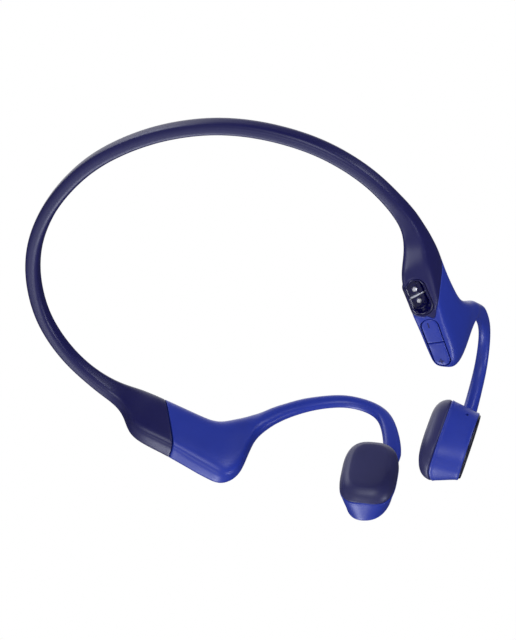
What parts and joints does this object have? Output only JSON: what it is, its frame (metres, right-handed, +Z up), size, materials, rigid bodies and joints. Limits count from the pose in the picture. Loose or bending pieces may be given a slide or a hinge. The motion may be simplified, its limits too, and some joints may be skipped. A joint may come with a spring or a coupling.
{
  "type": "bone conduction headphones",
  "caption": "Open-ear headphones: a sprung neckband, a pod behind each ear, an over-ear hook and a padded transducer in front of each ear.",
  "frame": {"origin": "middle of the underside, level with the lowest points of the two pods, on the wearer's midline", "axes": "+X to the wearer's right, +Y from the nape towards the face, +Z up as worn"},
  "size_m": [0.1346, 0.1384, 0.045],
  "materials": {
    "navy_silicone": "matte moulded silicone",
    "blue_shell": "soft satin moulded plastic",
    "pad_silicone": "matte silicone",
    "cover_plastic": "satin moulded plastic",
    "port_plastic": "polished",
    "titanium": "drawn wire",
    "steel": "rolled",
    "plated_metal": "plated",
    "copper": "enamelled winding",
    "ferrite": "sintered",
    "cable_jacket": "matte",
    "circuit_board": "solder resist",
    "chip_resin": "moulded resin",
    "ceramic": "fired",
    "battery_foil": "laminate foil",
    "foam": "foam"
  },
  "bodies": {
    "band_back": {"band_sleeve_back": "navy_silicone", "band_wire_back": "titanium", "band_cable_back": "cable_jacket"},
    "right_arm": {"right_sleeve": "navy_silicone", "right_band_wire": "titanium", "right_band_cable": "cable_jacket", "right_front_shell": "blue_shell", "right_root_wire": "titanium", "right_root_cable": "cable_jacket", "right_main_board": "circuit_board", "right_bluetooth_chip": "chip_resin", "right_antenna": "ceramic", "volume_down_switch": "chip_resin", "volume_up_switch": "chip_resin", "key_board": "circuit_board", "charging_port": "port_plastic", "rear_contact": "plated_metal", "front_contact": "plated_metal", "port_bar": "steel"},
    "right_earpiece": {"right_hook_skin": "blue_shell", "right_hook_wire": "titanium", "right_hook_cable": "cable_jacket", "right_cup": "blue_shell", "right_ear_pad": "pad_silicone", "right_driver_panel": "chip_resin", "right_voice_coil": "copper", "right_suspension_plate": "steel", "right_outer_cover": "cover_plastic", "right_microphone": "chip_resin"},
    "right_driver": {"right_driver_yoke": "steel", "right_driver_magnet": "ferrite"},
    "left_arm": {"left_sleeve": "navy_silicone", "left_band_wire": "titanium", "left_band_cable": "cable_jacket", "left_front_shell": "blue_shell", "left_root_wire": "titanium", "left_root_cable": "cable_jacket", "left_battery": "battery_foil", "left_battery_board": "circuit_board", "left_battery_foam": "foam"},
    "left_earpiece": {"left_hook_skin": "blue_shell", "left_hook_wire": "titanium", "left_hook_cable": "cable_jacket", "left_cup": "blue_shell", "left_ear_pad": "pad_silicone", "left_driver_panel": "chip_resin", "left_voice_coil": "copper", "left_suspension_plate": "steel", "left_button_switch": "chip_resin"},
    "left_driver": {"left_driver_yoke": "steel", "left_driver_magnet": "ferrite"},
    "volume_down": {"volume_down_key": "blue_shell"},
    "volume_up": {"volume_up_key": "blue_shell"},
    "multifunction_button": {"left_button_cover": "cover_plastic"}
  },
  "joints": [
    {"name": "right_band_flex", "type": "hinge", "parent": "band_back", "child": "right_arm", "pos_m": [0.0418, -0.0555, 0.0123], "axis": [0, 0, -1], "range_deg": [-1.5, 20], "stiffness_Nm_per_rad": 0.25},
    {"name": "right_hook_flex", "type": "hinge", "parent": "right_arm", "child": "right_earpiece", "pos_m": [0.0408, 0.0381, 0.0323], "axis": [0, 0, -1], "range_deg": [-2, 9], "stiffness_Nm_per_rad": 0.4},
    {"name": "right_driver_travel", "type": "slide", "parent": "right_earpiece", "child": "right_driver", "axis": [-0.6884, -0.7254, 0], "range_m": [-0.0003, 0.0003], "stiffness_N_per_m": 2400},
    {"name": "left_band_flex", "type": "hinge", "parent": "band_back", "child": "left_arm", "pos_m": [-0.0418, -0.0555, 0.0123], "axis": [0, 0, 1], "range_deg": [-1.5, 20], "stiffness_Nm_per_rad": 0.25},
    {"name": "left_hook_flex", "type": "hinge", "parent": "left_arm", "child": "left_earpiece", "pos_m": [-0.0408, 0.0381, 0.0323], "axis": [0, 0, 1], "range_deg": [-2, 9], "stiffness_Nm_per_rad": 0.4},
    {"name": "left_driver_travel", "type": "slide", "parent": "left_earpiece", "child": "left_driver", "axis": [0.6884, -0.7254, 0], "range_m": [-0.0003, 0.0003], "stiffness_N_per_m": 2400},
    {"name": "volume_down_press", "type": "slide", "parent": "right_arm", "child": "volume_down", "axis": [-0.1724, -0.0818, 0.9816], "range_m": [0, 0.00035], "stiffness_N_per_m": 1500},
    {"name": "volume_up_press", "type": "slide", "parent": "right_arm", "child": "volume_up", "axis": [-0.1724, -0.0818, 0.9816], "range_m": [0, 0.00035], "stiffness_N_per_m": 1500},
    {"name": "multifunction_press", "type": "slide", "parent": "left_earpiece", "child": "multifunction_button", "axis": [0.6884, -0.7254, 0], "range_m": [0, 0.00035], "stiffness_N_per_m": 1500}
  ]
}
